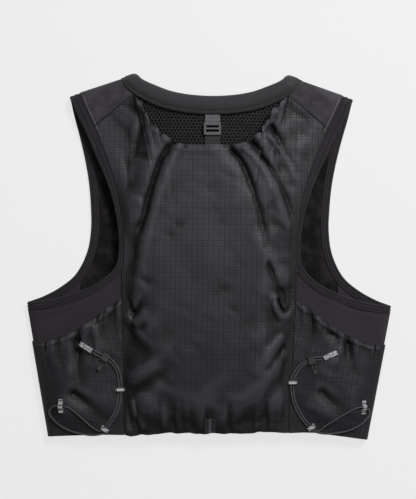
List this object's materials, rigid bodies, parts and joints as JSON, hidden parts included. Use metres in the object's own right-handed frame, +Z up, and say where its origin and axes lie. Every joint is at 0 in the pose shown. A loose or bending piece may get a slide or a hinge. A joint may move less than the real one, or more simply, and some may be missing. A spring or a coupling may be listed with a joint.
{
  "type": "running hydration vest",
  "caption": "Sleeveless running vest lying flat, back upward, with a mesh back panel, a large gathered back pocket, side pockets with elastic cords and a padded collar.",
  "frame": {"origin": "on the surface that the vest lies on, under the middle of its length and width", "axes": "+X to the viewer's right when looking down at the back, +Y from the hem to the neck, +Z up through the layers from the front to the back"},
  "size_m": [0.43, 0.4286, 0.0309],
  "materials": {
    "ripstop": "woven ripstop",
    "knit": "matte stretch knit",
    "spacer_mesh": "open spacer mesh",
    "padded_knit": "soft padded knit",
    "shoulder_cloth": "dense padded cloth",
    "edge_tape": "folded edge tape",
    "webbing": "woven webbing",
    "plastic": "satin",
    "reflective": "reflective tape",
    "elastic_cord": "braided elastic"
  },
  "bodies": {
    "root": {"back_panel": "spacer_mesh", "back_pocket": "ripstop", "collar": "padded_knit", "side_panel_left": "knit", "side_pocket_left": "ripstop", "front_panel_left": "knit", "yoke_left": "shoulder_cloth", "armhole_binding_left": "edge_tape", "side_panel_right": "knit", "side_pocket_right": "ripstop", "front_panel_right": "knit", "yoke_right": "shoulder_cloth", "armhole_binding_right": "edge_tape", "front_clasp_lower": "webbing", "front_clasp_upper": "webbing", "hanger_strap_upper": "webbing", "hanger_strap_lower": "webbing", "hanger_buckle": "plastic", "hem_loop": "edge_tape", "side_tab_left": "reflective", "seam_tab_left": "reflective", "hem_tab_left": "reflective", "cord_hook_left": "plastic", "pull_tab_left": "reflective", "side_tab_right": "reflective", "seam_tab_right": "reflective", "hem_tab_right": "reflective", "cord_hook_right": "plastic", "pull_tab_right": "reflective", "cord_left": "elastic_cord", "cord_right": "elastic_cord"}
  },
  "joints": []
}
